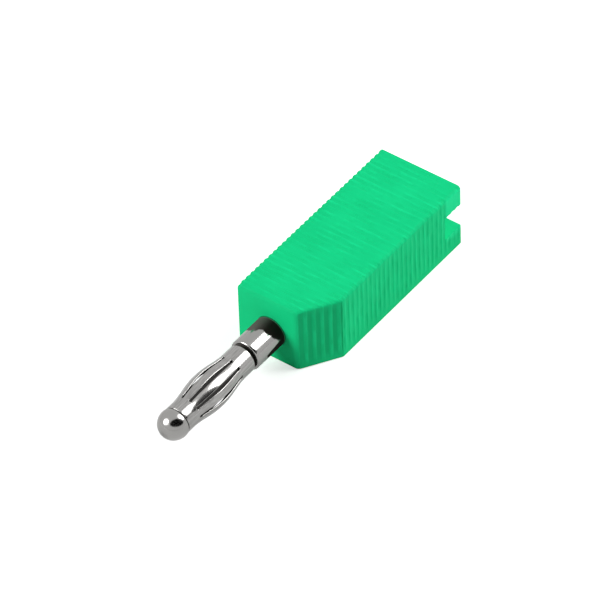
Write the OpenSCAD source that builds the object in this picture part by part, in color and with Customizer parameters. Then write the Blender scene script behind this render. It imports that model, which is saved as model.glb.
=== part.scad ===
// Stackable 4 mm banana plug with a ribbed block housing and a caged spring pin.
// The origin is on the pin's axis, in the plane of the housing's front face.
// +X points out of the front face along the pin, +Y to the chamfered side, +Z up.
// The plug lies on its plain underside.

/* [Housing block] */
// Length of the block, from its front face to its rear face
housing_length = 27.6; // [26:0.2:34]
// Width of the block
housing_width = 11.3; // [10.8:0.1:13]
// Height of the block
housing_height = 9; // [8.8:0.1:11]
// Distance from the left side of the block to the pin's axis
axis_from_left = 4.65; // [4.2:0.05:5]
// Height of the pin's axis above the underside
axis_from_base = 4.2; // [4:0.05:4.8]
// Length of the front right chamfer, along the plug
chamfer_length = 4.7; // [3.5:0.1:6]
// Width of the front right chamfer, across the plug
chamfer_width = 3; // [2:0.1:3.2]
// Radius of the edge between the front face and the top
front_edge_radius = 0.6; // [0.2:0.05:0.8]
// Radius of the edges between the front face and the left side, and between it and the underside
front_corner_radius = 0.15; // [0.1:0.05:0.4]
// Radius of the upright edge between the front face and the chamfer
nose_edge_radius = 1; // [0.4:0.1:1.2]
// Radius of the four edges along the block
long_edge_radius = 0.2; // [0.1:0.05:0.6]

/* [Grip ribs] */
// Distance from one rib to the next
rib_pitch = 0.85; // [0.7:0.01:1.2]
// Distance from the front face to the middle of the first groove
first_groove = 0.5; // [0.45:0.05:0.8]
// Width of a groove at the surface
groove_width = 0.6; // [0.44:0.02:0.64]
// Width of a groove at its floor
groove_floor_width = 0.38; // [0.1:0.02:0.4]
// Depth of a groove
groove_depth = 0.08; // [0.04:0.01:0.2]
// Shortest smooth land behind the last groove
rear_land = 0.4; // [0.3:0.05:1]
// Height of the plain rim round the underside, where the ribs on the sides end
rim_height = 0.5; // [0.2:0.1:1.5]

/* [Cable entry] */
// Height of the cable slot
slot_height = 3.3; // [2.6:0.1:3.8]
// Height of the slot's floor above the underside
slot_floor = 2.9; // [2.4:0.1:3.2]
// Depth of the notch where the slot opens to the right side
notch_depth = 3.1; // [2:0.1:5]
// Thickness of the wall between the cable channel and the right side
channel_wall = 0.9; // [0.7:0.05:1.1]
// Plastic left between the channel's end and the chamfer
channel_end_wall = 0.9; // [0.7:0.1:1.4]
// Width of the pocket beside the barrel, where the conductor turns into its hole
pocket_width = 1.6; // [1.2:0.1:1.7]
// Distance that the pocket runs past the conductor's hole, towards the front
pocket_overrun = 0.2; // [0.1:0.1:0.5]

/* [Contact body] */
// Diameter of the plug's shaft
shaft_d = 4; // [3.8:0.05:4.2]
// Length of the shaft in front of the housing
shaft_length = 5; // [4:0.1:6]
// Bevel at the shaft's shoulder
shaft_bevel = 0.22; // [0.1:0.02:0.4]
// Diameter of the barrel inside the housing
barrel_d = 5.4; // [5.2:0.1:5.8]
// Diameter of the stacking socket's bore
socket_d = 4.05; // [4:0.01:4.2]
// Depth of the socket's bore
socket_depth = 19.5; // [18:0.1:20]
// Depth of the funnel at the socket's mouth
mouth_depth = 0.35; // [0.2:0.05:0.6]
// Distance from the rear face to the barrel's rear end
barrel_recess = 1.2; // [0.6:0.1:2]
// Thickness of the housing's front wall around the shaft
front_wall = 1.3; // [1:0.1:1.8]
// Diameter of the conductor's cross hole
conductor_hole_d = 1.9; // [1.4:0.1:2]

/* [Clamp screw] */
// Outer diameter of the screw
screw_d = 2.9; // [2.4:0.1:3]
// Length of the screw
screw_length = 2.9; // [2.4:0.1:3.4]
// Distance from the front face to the screw's axis
screw_from_front = 4; // [3.6:0.1:4.4]
// Distance from the underside to the screw's slotted end
screw_recess = 0.35; // [0.1:0.05:0.6]
// Width of the screwdriver slot
driver_slot_width = 0.5; // [0.3:0.05:0.8]
// Depth of the screwdriver slot
driver_slot_depth = 0.7; // [0.4:0.05:1]
// Bevel round both ends of the screw
screw_bevel = 0.2; // [0.1:0.05:0.4]

/* [Tip pin] */
// Diameter of the ball at the plug's tip
ball_d = 3.8; // [3.6:0.05:3.9]
// Distance from the front face to the ball's centre
ball_from_face = 18.1; // [16:0.1:20]
// Distance from the ball's centre back to its flat rear face
ball_back = 0.4; // [0.2:0.1:0.9]
// Diameter of the mandrel that carries the spring cage
mandrel_d = 3.1; // [2.6:0.05:3.2]
// Diameter of the spigot that is pressed into the shaft
spigot_d = 2.2; // [1.8:0.05:2.4]
// Depth of the spigot in the shaft
spigot_depth = 6; // [4:0.1:7]

/* [Spring cage] */
// Number of leaves
leaf_count = 10; // [6:1:12]
// Largest diameter over the leaves
cage_d = 4.7; // [4.4:0.05:4.8]
// Thickness of the leaves and collars
sheet = 0.2; // [0.14:0.01:0.24]
// Distance from the shaft's shoulder to the rear collar
cage_rear_gap = 0.45; // [0.1:0.05:0.8]
// Length of the rear collar, up to where the bulge begins
rear_collar = 1.4; // [0.5:0.1:2.4]
// Length of the front collar, up to where the bulge begins
front_collar = 1; // [0.4:0.1:2]
// Width of a slot at its ends
slot_end_width = 0.24; // [0.16:0.02:0.34]
// Width of a slot half way along
slot_mid_width = 0.42; // [0.2:0.02:0.6]
// Diameter of the relief hole at each end of a slot
relief_d = 0.34; // [0.3:0.02:0.5]
// Distance from each end of the bulge to the ends of the slots
slot_setback = 0.9; // [0.2:0.1:2]
// Angle from +Y to the first slot, about the plug's axis
first_slot_angle = 3.3; // [0:0.1:36]

/* [Fits] */
// Gap all round the barrel in the housing
barrel_clearance = 0.05; // [0.02:0.01:0.1]
// Gap all round the shaft in the front wall
shaft_clearance = 0.03; // [0.01:0.01:0.08]
// Gap all round the clamp screw in its thread
screw_clearance = 0.05; // [0.02:0.01:0.08]
// Gap all round the screw in the housing's access hole
access_clearance = 0.2; // [0.1:0.05:0.4]
// Gap all round the mandrel in the cage's collars
cage_clearance = 0.07; // [0.03:0.01:0.1]
// Gap between the cage's front end and the ball's rear face
ball_clearance = 0.15; // [0.04:0.01:0.3]
// Gap all round the spigot in the shaft
spigot_clearance = 0.01; // [0.01:0.01:0.05]

/* [Hidden] */

// Smoothness of round faces
$fn = 64;
// Overlap of a cutting tool past the face that it cuts
cut = 0.1;
// Points along each rounded front edge
arc_steps = 5;
// Cones along the bulge of the spring cage
bulge_steps = 10;
// Half of the drill point angle at the blind ends of bores
drill_half_angle = 59;

// The block's faces, from the pin's axis
left = -axis_from_left;
right = housing_width - axis_from_left;
base = -axis_from_base;
top = housing_height - axis_from_base;
rear = -housing_length;
slope = chamfer_width / chamfer_length;
chamfer_edge = norm([chamfer_length, chamfer_width]);

// Grooves that fit between the front face and the rear land
groove_count = 1 + floor((housing_length - first_groove - groove_width / 2 - rear_land) / rib_pitch);

// Places along the plug
barrel_front = -front_wall;
barrel_rear = rear + barrel_recess;
screw_x = -screw_from_front;
slot_base = base + slot_floor;
channel_front = -chamfer_length - channel_end_wall;
pocket_front = screw_x + conductor_hole_d / 2 + pocket_overrun;
pocket_side = barrel_d / 2 + barrel_clearance + pocket_width;
cage_rear = shaft_length + cage_rear_gap;
ball_rear = ball_from_face - ball_back;
cage_front = ball_rear - ball_clearance;

// The cage's collars turn on the mandrel
collar_d = mandrel_d + 2 * (cage_clearance + sheet);

// The bulge of the leaves, and the ends of the slots between them
rise_rear = cage_rear + rear_collar;
rise_front = cage_front - front_collar;
rise_length = rise_front - rise_rear;
slot_rear = rise_rear + slot_setback;
slot_front = rise_front - slot_setback;
bulge_height = (cage_d - collar_d) / 2;

// Distance from x to the middle of the nearest groove
function groove_index(x) = max(0, min(groove_count - 1, round((-x - first_groove) / rib_pitch)));
function groove_offset(x) = abs(x + first_groove + groove_index(x) * rib_pitch);

// Depth of the grooves at x: the full depth on the floor, and a straight flank on each side
function groove_at(x) =
    groove_depth * max(0, min(1, (groove_width / 2 - groove_offset(x)) / ((groove_width - groove_floor_width) / 2)));

// What a rounded edge takes off a side at x, where the side meets the front face squarely
function edge_round(x, r) = x > -r ? r - sqrt(r * r - pow(x + r, 2)) : 0;

// The chamfered right side at x, with the rounded edge where it meets the front face
nose_y = right - chamfer_width - nose_edge_radius * (chamfer_edge - chamfer_width) / chamfer_length;
nose_end = -nose_edge_radius * (1 - chamfer_width / chamfer_edge);
function right_side(x) =
    x > nose_end ? nose_y + sqrt(pow(nose_edge_radius, 2) - pow(x + nose_edge_radius, 2))
    : x > -chamfer_length ? right - slope * (x + chamfer_length)
    : right;

// Depth of a groove across the plug, so that it is as deep at right angles to the chamfer
function right_groove(x) = groove_at(x) * (x > -chamfer_length ? chamfer_edge / chamfer_length : 1);

// Where the outline bends, from front to rear: four corners for each groove
groove_corners = [groove_width, groove_floor_width, -groove_floor_width, -groove_width] / 2;
comb = [for (i = [0 : groove_count - 1]) for (c = groove_corners) c - first_groove - i * rib_pitch];

// Points on a rounded front edge that reaches back by the given depth, up to the first groove if ribbed
function edge_steps(reach, ribbed) =
    [for (i = [0 : arc_steps]) let (x = -reach * (1 - cos(90 * i / arc_steps))) if (!ribbed || x > comb[0]) x];

function backwards(list) = [for (i = [len(list) - 1 : -1 : 0]) list[i]];

// Block seen from above, with or without the ribs on its left, chamfered and right sides
module plan_outline(ribbed) {
    bends = ribbed ? comb : [];
    share = ribbed ? 1 : 0;
    left_x = concat(edge_steps(front_corner_radius, ribbed), bends);
    right_x = concat(
        edge_steps(-nose_end, ribbed),
        [for (x = bends) if (x > -chamfer_length) x],
        [-chamfer_length],
        [for (x = bends) if (x < -chamfer_length) x]
    );
    polygon(concat(
        [for (x = right_x) [x, right_side(x) - share * right_groove(x)]],
        [[rear, right], [rear, left]],
        [for (x = backwards(left_x)) [x, left + edge_round(x, front_corner_radius) + share * groove_at(x)]]
    ));
}

// Block seen from the side, with the ribs on its top
module side_outline() {
    top_x = concat(edge_steps(front_edge_radius, true), comb);
    base_x = edge_steps(front_corner_radius, false);
    polygon(concat(
        [for (x = top_x) [x, top - edge_round(x, front_edge_radius) - groove_at(x)]],
        [[rear, top], [rear, base]],
        [for (x = backwards(base_x)) [x, base + edge_round(x, front_corner_radius)]]
    ));
}

// Block seen from the rear, with its long edges rounded
module end_outline() {
    r = long_edge_radius;
    corners = [[right - r, top - r, 0], [left + r, top - r, 90], [left + r, base + r, 180], [right - r, base + r, 270]];
    polygon([
        for (c = corners) for (i = [0 : arc_steps])
            let (a = c[2] + 90 * i / arc_steps) [c[0] + r * cos(a), c[1] + r * sin(a)]
    ]);
}

// A cylinder along the plug from one x to another
module along_x(from, to, d) {
    translate([from, 0, 0]) rotate([0, 90, 0]) cylinder(h = to - from, d = d);
}

// The solid block: what the three outlines have in common, plain up to the rim and ribbed above it
module ribbed_block() {
    intersection() {
        union() {
            translate([0, 0, base]) linear_extrude(rim_height) plan_outline(false);
            translate([0, 0, base + rim_height]) linear_extrude(housing_height - rim_height) plan_outline(true);
        }
        translate([0, right, 0]) rotate([90, 0, 0]) linear_extrude(housing_width) side_outline();
        translate([rear, 0, 0]) rotate([90, 0, 90]) linear_extrude(housing_length) end_outline();
    }
}

// Space for the cable: a channel beside the barrel, the notch that opens it to the right,
// and the pocket that leads the conductor on to its hole in the barrel
module cable_space() {
    translate([rear - cut, 0, slot_base])
        cube([channel_front - rear + cut, right - channel_wall, slot_height]);
    translate([channel_front - cut, 0, slot_base])
        cube([pocket_front - channel_front + cut, pocket_side, slot_height]);
    translate([rear - cut, 0, slot_base])
        cube([notch_depth + cut, right + cut, slot_height]);
}

module housing() {
    color([0.1, 0.75, 0.45])
    difference() {
        ribbed_block();
        along_x(barrel_front - cut, cut, shaft_d + 2 * shaft_clearance);
        along_x(rear - cut, barrel_front, barrel_d + 2 * barrel_clearance);
        cable_space();
        translate([screw_x, 0, base - cut])
            cylinder(h = axis_from_base + cut, d = screw_d + 2 * access_clearance);
    }
}

// Half section of the contact body, radius first, then distance along the plug
module contact_section() {
    polygon([
        [0, barrel_rear],
        [barrel_d / 2, barrel_rear],
        [barrel_d / 2, barrel_front],
        [shaft_d / 2, barrel_front],
        [shaft_d / 2, shaft_length - shaft_bevel],
        [shaft_d / 2 - shaft_bevel, shaft_length],
        [0, shaft_length]
    ]);
}

// Half section of the socket's bore, with its funnel mouth and drill point
module socket_section() {
    bore_end = barrel_rear + socket_depth;
    polygon([
        [0, barrel_rear - cut],
        [socket_d / 2 + mouth_depth + cut, barrel_rear - cut],
        [socket_d / 2, barrel_rear + mouth_depth],
        [socket_d / 2, bore_end],
        [0, bore_end + socket_d / 2 / tan(drill_half_angle)]
    ]);
}

module contact_body() {
    color([0.72, 0.72, 0.72])
    difference() {
        rotate([0, 90, 0]) rotate_extrude() contact_section();
        rotate([0, 90, 0]) rotate_extrude() socket_section();
        along_x(shaft_length - spigot_depth, shaft_length + cut, spigot_d + 2 * spigot_clearance);
        translate([screw_x, barrel_d / 2 + cut, 0]) rotate([90, 0, 0])
            cylinder(h = barrel_d + 2 * cut, d = conductor_hole_d);
        translate([screw_x, 0, -barrel_d / 2 - cut])
            cylinder(h = barrel_d / 2 + cut, d = screw_d + 2 * screw_clearance);
    }
}

module tip_pin() {
    color([0.78, 0.78, 0.78])
    union() {
        intersection() {
            translate([ball_from_face, 0, 0]) sphere(d = ball_d);
            along_x(ball_rear, ball_from_face + ball_d, 2 * ball_d);
        }
        along_x(shaft_length, ball_from_face, mandrel_d);
        along_x(shaft_length - spigot_depth, shaft_length, spigot_d);
    }
}

// Height of the leaves above the collars, as a share of the bulge: one smooth wave
function rise(t) = pow(sin(180 * t), 2);
function bulge_x(t) = rise_rear + t * rise_length;

// Half section of the cage's wall, radius first, then distance along the plug
module cage_section() {
    steps = [for (i = [0 : bulge_steps]) i / bulge_steps];
    outer = concat(
        [[collar_d / 2, cage_rear]],
        [for (t = steps) [collar_d / 2 + bulge_height * rise(t), bulge_x(t)]],
        [[collar_d / 2, cage_front]]
    );
    inner = [for (p = backwards(outer)) [p[0] - sheet, p[1]]];
    polygon(concat(outer, inner));
}

// A slot between two leaves, widest half way along, with a relief hole at each end
module cage_slot() {
    hole_rear = slot_rear + relief_d / 2;
    hole_front = slot_front - relief_d / 2;
    growth = slot_mid_width - slot_end_width;
    steps = [for (i = [0 : bulge_steps]) i / bulge_steps];
    edge = [for (t = steps) [hole_rear + t * (hole_front - hole_rear), (slot_end_width + growth * rise(t)) / 2]];
    depth = sheet + bulge_height + 2 * cut;
    translate([0, 0, collar_d / 2 - sheet - cut]) {
        linear_extrude(depth) polygon(concat(backwards(edge), [for (p = edge) [p[0], -p[1]]]));
        for (x = [hole_rear, hole_front]) translate([x, 0, 0]) cylinder(h = depth, d = relief_d);
    }
}

module cage_spring() {
    color([0.82, 0.82, 0.82])
    difference() {
        rotate([0, 90, 0]) rotate_extrude() cage_section();
        for (i = [0 : leaf_count - 1])
            rotate([first_slot_angle - 90 + i * 360 / leaf_count, 0, 0]) cage_slot();
    }
}

// Half section of the clamp screw, radius first, then height above its slotted end
module screw_section() {
    polygon([
        [0, 0],
        [screw_d / 2 - screw_bevel, 0],
        [screw_d / 2, screw_bevel],
        [screw_d / 2, screw_length - screw_bevel],
        [screw_d / 2 - screw_bevel, screw_length],
        [0, screw_length]
    ]);
}

module clamp_screw() {
    color([0.6, 0.6, 0.62])
    translate([screw_x, 0, base + screw_recess])
    difference() {
        rotate_extrude() screw_section();
        translate([-screw_d / 2 - cut, -driver_slot_width / 2, -cut])
            cube([screw_d + 2 * cut, driver_slot_width, driver_slot_depth + cut]);
    }
}

housing();
contact_body();
tip_pin();
cage_spring();
clamp_screw();
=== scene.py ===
# %% [markdown]
# # A stackable 4 mm banana plug
#
# The object is a small test-lead plug: a bright green moulded block, ribbed for grip, and a
# nickel-plated pin with a sprung cage and a ball tip. The imported solids give the places and sizes, so
# they are loaded first.

# %% Load the solids
from math import cos, pi, radians, sin

import bmesh
import bpy
import numpy as np
from mathutils import Matrix, Vector


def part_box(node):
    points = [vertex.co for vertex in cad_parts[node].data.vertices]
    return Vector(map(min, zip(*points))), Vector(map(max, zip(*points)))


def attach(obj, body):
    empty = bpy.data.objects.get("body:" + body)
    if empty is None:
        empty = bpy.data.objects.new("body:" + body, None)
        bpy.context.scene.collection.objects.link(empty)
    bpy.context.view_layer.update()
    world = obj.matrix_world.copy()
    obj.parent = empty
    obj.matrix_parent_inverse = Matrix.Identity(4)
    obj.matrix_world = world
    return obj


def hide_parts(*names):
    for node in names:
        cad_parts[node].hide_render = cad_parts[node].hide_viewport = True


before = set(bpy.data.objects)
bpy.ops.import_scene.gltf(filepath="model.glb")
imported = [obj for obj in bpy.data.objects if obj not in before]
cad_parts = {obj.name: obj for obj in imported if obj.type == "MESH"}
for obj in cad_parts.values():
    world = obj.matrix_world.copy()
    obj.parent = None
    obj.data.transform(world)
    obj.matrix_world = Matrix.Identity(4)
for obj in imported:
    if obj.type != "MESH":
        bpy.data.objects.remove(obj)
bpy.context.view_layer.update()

# %% [markdown]
# ## Working units
#
# A scene's own unit is the metre, but a plug is measured in millimetres. So every shape is worked out
# in millimetres, from an origin on the pin's axis in the plane of the block's front face: +X out along
# the pin, +Y to the chamfered side and +Z up. `MM` turns them into metres where points become a mesh.

# %% Places read from the solids
MM = 0.001


def solid(node):
    """Lowest and highest corner of a solid, in millimetres, to a micron."""
    return [np.round(np.array(corner) / MM, 3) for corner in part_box(node)]


block_low, block_high = solid("housing")
metal_low, metal_high = solid("contact_body")
tip_low, tip_high = solid("tip_pin")
cage_low, cage_high = solid("cage_spring")
screw_low, screw_high = solid("clamp_screw")
REAR, LEFT, BASE = block_low
_, RIGHT, TOP = block_high
print("block", np.round(block_low, 2), np.round(block_high, 2), "tip at", round(tip_high[0], 2))

# %% [markdown]
# ## From arrays of points to a closed mesh
#
# A moulded or turned part is a skin without gaps. Each shape here is a set of sheets: a sheet is a
# grid of points, rows by columns, computed as a whole array. Neighbouring sheets share their edge
# points, so once the doubles are merged the skin is closed, and its faces can be turned outwards.
# Edges sharper than a set angle are marked sharp, so that a bore's rim stays crisp while a turned
# surface shades smoothly.

# %% Sheets to mesh
MERGE_DISTANCE = 4e-7
SHARP_ANGLE = radians(38)


def quads(rows, columns, first):
    """Corner numbers of the quads between neighbouring points of a grid whose first point is given."""
    at = first + np.arange(rows * columns).reshape(rows, columns)
    return np.stack([at[:-1, :-1], at[:-1, 1:], at[1:, 1:], at[1:, :-1]], axis=-1).reshape(-1, 4)


def closed_mesh(name, sheets):
    """One mesh from sheets of points in millimetres, merged where they meet and facing outwards."""
    firsts = np.cumsum([0] + [sheet[..., 0].size for sheet in sheets])
    points = np.concatenate([sheet.reshape(-1, 3) for sheet in sheets]) * MM
    faces = np.concatenate([quads(*sheet.shape[:2], first) for sheet, first in zip(sheets, firsts)])
    mesh = bpy.data.meshes.new(name)
    mesh.from_pydata(points, [], faces)
    work = bmesh.new()
    work.from_mesh(mesh)
    bmesh.ops.remove_doubles(work, verts=work.verts, dist=MERGE_DISTANCE)
    bmesh.ops.dissolve_degenerate(work, edges=work.edges, dist=MERGE_DISTANCE / 4)
    bmesh.ops.recalc_face_normals(work, faces=work.faces)
    open_edges = sum(not edge.is_manifold for edge in work.edges)
    volume = work.calc_volume() / MM**3
    work.to_mesh(mesh)
    work.free()
    smooth(mesh)
    print(f"{name}: {len(mesh.polygons)} faces, {open_edges} open edges, {volume:.1f} cubic mm")
    return mesh


def smooth(mesh):
    """Smooth shading, with the edges that turn by more than the sharp angle kept crisp."""
    mesh.shade_smooth()
    mesh.set_sharp_from_angle(angle=SHARP_ANGLE)


def placed(name, data):
    """An object for a mesh, a lamp or a camera, linked into the scene at the origin."""
    obj = bpy.data.objects.new(name, data)
    bpy.context.scene.collection.objects.link(obj)
    return obj


def piece(mesh, body, slot, *nodes):
    """A finished piece at the origin, which rides on a body and stands for its solids."""
    obj = placed(mesh.name, mesh)
    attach(obj, body)
    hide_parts(*nodes)
    return obj


# %% [markdown]
# ## The grip ribs
#
# The block's ribs are moulded: 32 shallow grooves, square to the pin, cross its top and its sides. The
# steel mould would be cut with a small tool, so crest and floor flow into each other. A groove is
# therefore a smooth step of the distance from its middle, and most of its rows lie where that bends.

# %% Groove profile
RIB_PITCH = 0.85
FIRST_GROOVE = 0.5
REAR_LAND = 0.4
GROOVE_WIDTH = 0.6
GROOVE_DEPTH = 0.08
FLOOR_HALF = 0.17
LIP_HALF = 0.32
GROOVES = 1 + int((-REAR - FIRST_GROOVE - GROOVE_WIDTH / 2 - REAR_LAND) / RIB_PITCH)


def smooth_step(t):
    """0 up to t = 0, 1 from t = 1, and three t squared less two t cubed between."""
    t = np.clip(t, 0, 1)
    return t * t * (3 - 2 * t)


def groove_number(x):
    """The number of the groove nearest to x, counted from the front."""
    return np.clip(np.round((-x - FIRST_GROOVE) / RIB_PITCH), 0, GROOVES - 1).astype(int)


def groove(x):
    """Depth at x: full on a groove's floor, falling by a smooth step to nothing on the ribs."""
    away = np.abs(x + FIRST_GROOVE + groove_number(x) * RIB_PITCH)
    return GROOVE_DEPTH * (1 - smooth_step((away - FLOOR_HALF) / (LIP_HALF - FLOOR_HALF)))


bends = np.concatenate([[0], np.linspace(FLOOR_HALF, LIP_HALF, 6), [RIB_PITCH / 2]])
groove_rows = -FIRST_GROOVE - np.arange(GROOVES)[:, None] * RIB_PITCH + np.concatenate([-bends, bends])
print("grooves", GROOVES, "last at", round(-FIRST_GROOVE - (GROOVES - 1) * RIB_PITCH, 2))

# %% [markdown]
# ## The block's outline at each row
#
# Seen from above, the block is a long rectangle with one chamfered front corner, rounded front edges,
# and a wide radius between front face and chamfer. At every row x its section is a rounded rectangle,
# so four functions of x, one for each side, hold the shape but for the rounds along it: each is a flat
# side, less the rounding at its ends and the groove.

# %% Sides of the block
CHAMFER_LENGTH = 4.7
CHAMFER_WIDTH = 3.0
TOP_RADIUS = 0.6
CORNER_RADIUS = 0.15
NOSE_RADIUS = 1.0
REAR_RADIUS = 0.14
UPPER_RADIUS = 0.4
LOWER_RADIUS = 0.2

slope = CHAMFER_WIDTH / CHAMFER_LENGTH
slant = np.hypot(CHAMFER_LENGTH, CHAMFER_WIDTH)
nose_y = RIGHT - CHAMFER_WIDTH - NOSE_RADIUS * (slant - CHAMFER_WIDTH) / CHAMFER_LENGTH
nose_end = -NOSE_RADIUS * (1 - CHAMFER_WIDTH / slant)


def rounding(depth, radius):
    """What a quarter round takes off, at a depth behind the face that it turns into."""
    return radius - np.sqrt(radius**2 - np.clip(radius - depth, 0, radius) ** 2)


def sides(x, share):
    """Left, right, base and top of the block at x, rounded towards both ends, with a share of the
    groove's depth."""
    ribs = share * groove(x)
    cut = ribs + rounding(x - REAR, REAR_RADIUS)
    corner = cut + rounding(-x, CORNER_RADIUS)
    nose = nose_y + np.sqrt(NOSE_RADIUS**2 - np.clip(x + NOSE_RADIUS, 0, NOSE_RADIUS) ** 2)
    chamfer = RIGHT - slope * np.clip(x + CHAMFER_LENGTH, 0, None)
    steep = np.where(x > -CHAMFER_LENGTH, slant / CHAMFER_LENGTH, 1)
    right = np.where(x > nose_end, nose, chamfer) - rounding(x - REAR, REAR_RADIUS) - ribs * steep
    return LEFT + corner, right, BASE + corner, TOP - cut - rounding(-x, TOP_RADIUS)


print("front face", [round(float(side), 2) for side in sides(np.array(0.0), 0)])

# %% [markdown]
# ## Where the ribs are strong
#
# A moulded rib isn't equally sharp all over. The ribs stop at a plain rim round the underside, are
# deepest on the chamfer, and leave the side of the jaw over the cable notch plain. Towards the upper
# edge they grow shallow, and on the top only streaks are left, best seen along the left edge. A sum of
# three sines, with its own phases for each groove, gives such streaks.

# %% Strength of the ribs
RIM = 0.5
RIM_FADE = 1.0
EDGE_FADE = 1.2
EDGE_STRENGTH = 0.2
LEFT_STRENGTH = 0.75
LEFT_FADE = 1.5
SIDE_WEAKEST, SIDE_SPREAD = 0.3, 0.5
TOP_WEAKEST, TOP_SPREAD = 0.12, 0.85
NOTCH_DEPTH = 3.1
SLOT_LOW = BASE + 2.9
SLOT_HIGH = SLOT_LOW + 3.3
STREAK_WAVES = np.array([0.7, 1.5, 2.6])
streak_phases = np.random.default_rng(4).uniform(0, 2 * pi, (GROOVES, 3))


def streaks(number, place):
    """From 0 to 1 along a groove: a smooth step of the sum of three sines of the place."""
    waves = np.sin(place[..., None] * STREAK_WAVES + streak_phases[number])
    return smooth_step(0.5 + waves.sum(-1) / 3)


def rib_strength(points):
    """Share of the groove's depth at points of the plain block, by their height and their face."""
    x, y, z = np.moveaxis(points, -1, 0)
    number = groove_number(x)
    above_rim = smooth_step((z - BASE - RIM) / RIM_FADE)
    below_edge = EDGE_STRENGTH + (1 - EDGE_STRENGTH) * smooth_step((TOP - z) / EDGE_FADE)
    behind_chamfer = SIDE_WEAKEST + SIDE_SPREAD * streaks(number, z)
    on_right = below_edge * np.where(x > -CHAMFER_LENGTH, 1, behind_chamfer)
    on_right = np.where((x < REAR + NOTCH_DEPTH) & (z > SLOT_HIGH), 0, on_right)
    on_side = np.where(y > 0, on_right, LEFT_STRENGTH)
    inward = smooth_step((y - LEFT - UPPER_RADIUS) / LEFT_FADE)
    on_top = LEFT_STRENGTH + inward * (TOP_WEAKEST + TOP_SPREAD * streaks(number, y) - LEFT_STRENGTH)
    upper = smooth_step((z - TOP + UPPER_RADIUS) / UPPER_RADIUS)
    return above_rim * (on_side + upper * (on_top - on_side))


print("streaks", np.round(streaks(np.arange(4), np.zeros(4)), 2))

# %% [markdown]
# ## Loops round a section
#
# The outer loop runs once round the block, and the inner loop once round the space inside it: the
# barrel's bore, joined on the right by the cable channel. Both have the same number of points, so the
# planes between them, such as the rear face, are sheets too. Each loop has three stretches: up to the
# cable slot, along the slot's height, and on round to the start. In the notch at the rear the middle
# stretch is left out, and the slot is open to the side.
#
# Both loops start and end at a seam below the axis. Where the screwdriver's hole goes through the
# underside, the seam opens by the hole's half width, so no face has to be cut.

# %% Stretches of a loop
BORE_RADIUS = 2.75
SCREW_X = (screw_low[0] + screw_high[0]) / 2
ACCESS_RADIUS = 1.65
# Steps along each straight side and each round, from the seam on
STEPS = [5, 6, 6, 6, 5, 8, 30, 8, 10, 6, 6]
SLOT_START, SLOT_END, LAST = sum(STEPS[:3]), sum(STEPS[:4]), sum(STEPS)
# Where the channel's floor and ceiling run into the bore
MEET_LOW, MEET_HIGH = SLOT_START - 6, SLOT_END + 8
FIRST, SLOT, REST = slice(0, SLOT_START + 1), slice(SLOT_START, SLOT_END + 1), slice(SLOT_END, LAST + 1)


def straight(start, end, steps):
    """Points on a straight run, one row for each x, without the run's last point. They lie closer
    together towards both ends, by a cosine, so that the shading of a rounded corner stays in it."""
    t = (1 - np.cos(pi * np.arange(steps) / steps)) / 2
    start, end = np.broadcast_arrays(np.stack(start, -1), np.stack(end, -1))
    return start[:, None] + (end - start)[:, None] * t[:, None]


def quarter(centre, radius, start, steps):
    """Points on a quarter circle in the section plane, from an angle in degrees on."""
    angle = np.radians(start + 90 * np.arange(steps) / steps)
    return np.stack(centre, -1)[:, None] + radius * np.stack([np.cos(angle), np.sin(angle)], -1)


def seam(x):
    """Half width of the opening below the axis: that of a round hole at x, or nothing."""
    return np.sqrt(np.clip(ACCESS_RADIUS**2 - (x - SCREW_X) ** 2, 0, None))


def with_x(x, section):
    """Section points in y and z, set at their x."""
    return np.concatenate([np.broadcast_to(x[:, None, None], section.shape[:2] + (1,)), section], -1)


print("points once round", LAST + 1)

# %% [markdown]
# ## The outer loop
#
# Straight sides and quarter rounds make one turn round the block. The ribs are made by moving points: a
# point stays on the plain section where its rib is weak, and moves in to the groove's floor where it
# is strong.

# %% Outer loop
def section(x, share):
    """Round the block at each x: straight sides joined by quarter circles."""
    left, right, base, top = sides(x, share)
    r, up = LOWER_RADIUS, UPPER_RADIUS
    low, high = np.full_like(x, SLOT_LOW), np.full_like(x, SLOT_HIGH)
    return with_x(x, np.concatenate([
        straight((seam(x), base), (right - r, base), STEPS[0]),
        quarter((right - r, base + r), r, -90, STEPS[1]),
        straight((right, base + r), (right, low), STEPS[2]),
        straight((right, low), (right, high), STEPS[3]),
        straight((right, high), (right, top - up), STEPS[4]),
        quarter((right - up, top - up), up, 0, STEPS[5]),
        straight((right - up, top), (left + up, top), STEPS[6]),
        quarter((left + up, top - up), up, 90, STEPS[7]),
        straight((left, top - up), (left, base + r), STEPS[8]),
        quarter((left + r, base + r), r, 180, STEPS[9]),
        straight((left + r, base), (-seam(x), base), STEPS[10]),
        np.stack([-seam(x), base], -1)[:, None],
    ], axis=1))


def outer_loop(x):
    """The plain section, moved towards the ribbed one by the strength of the ribs at each point."""
    plain = section(x, 0)
    return plain + rib_strength(plain)[..., None] * (section(x, 1) - plain)


print("outer loop at half length", outer_loop(np.array([REAR / 2])).shape)

# %% [markdown]
# ## The inner loops
#
# Inside, a loop goes round the barrel's bore by its angle from straight down. The channel's loop is the
# same one, with the points beside the slot moved out to the channel's wall. So where the channel ends,
# a flat wall can join the two loops point by point.

# %% Inner loops
low_angle = np.arccos(-SLOT_LOW / BORE_RADIUS)
high_angle = np.arccos(-SLOT_HIGH / BORE_RADIUS)
corner_steps = [0, MEET_LOW, MEET_HIGH, LAST]
shares = np.stack([np.interp(np.arange(LAST + 1), corner_steps, corner) for corner in np.eye(4)])


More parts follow.
